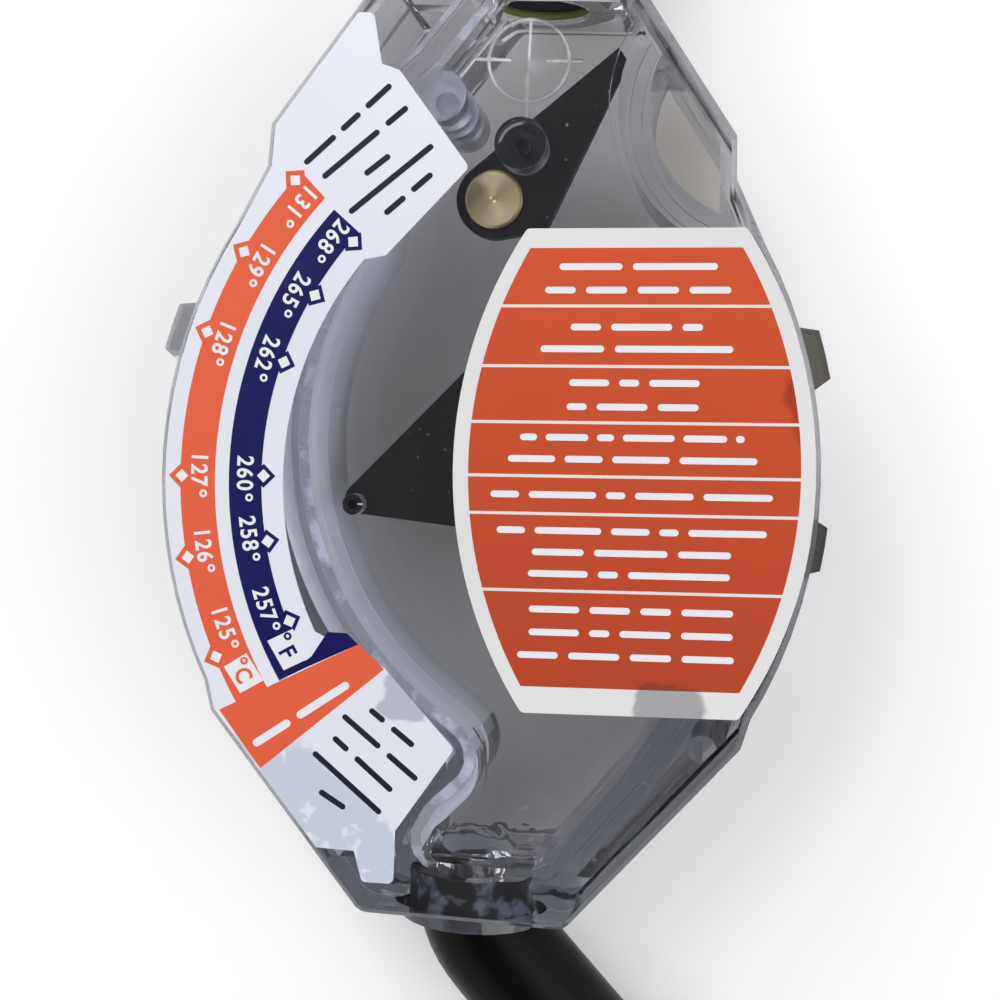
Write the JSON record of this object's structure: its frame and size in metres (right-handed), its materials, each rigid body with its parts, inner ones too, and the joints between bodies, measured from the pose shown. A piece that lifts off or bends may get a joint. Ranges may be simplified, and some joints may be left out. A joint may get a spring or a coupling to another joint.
{
  "type": "antifreeze hydrometer",
  "caption": "Flat clear antifreeze tester with a squeeze bulb, curved dial scales, a swinging float pointer, a weighted plumb pointer over a target mark, and a suction hose.",
  "frame": {"origin": "on the flat rear face, on the body's centre line, level with the float pointer's pivot", "axes": "+Y up the body towards the bulb, +Z out of the dial face, +X to the right as the dial is read"},
  "size_m": [0.1171, 0.3465, 0.0282],
  "materials": {
    "clear_shell": "gloss",
    "label_film": "satin",
    "orange_film": "satin",
    "black_plastic": "satin",
    "weight_brass": "turned",
    "pin_steel": "satin",
    "black_rubber": "satin",
    "seal_rubber": "satin"
  },
  "bodies": {
    "body": {"front_shell": "clear_shell", "rear_shell": "clear_shell", "dial_label": "label_film", "instruction_label": "orange_film", "float_axle": "pin_steel", "plumb_axle": "pin_steel", "neck_seal": "seal_rubber", "squeeze_bulb": "black_rubber", "hose": "black_rubber"},
    "float": {"float_pointer": "black_plastic", "float_trim_pin": "pin_steel"},
    "plumb": {"plumb_pointer": "black_plastic", "plumb_weight": "weight_brass"}
  },
  "joints": [
    {"name": "float_swing", "type": "hinge", "parent": "body", "child": "float", "pos_m": [0.0195, 0, 0.012], "axis": [0, 0, 1], "range_deg": [-44, 24]},
    {"name": "plumb_swing", "type": "hinge", "parent": "body", "child": "plumb", "pos_m": [0.0027, 0.0454, 0.019], "axis": [0, 0, 1], "range_deg": [0, 50]}
  ]
}
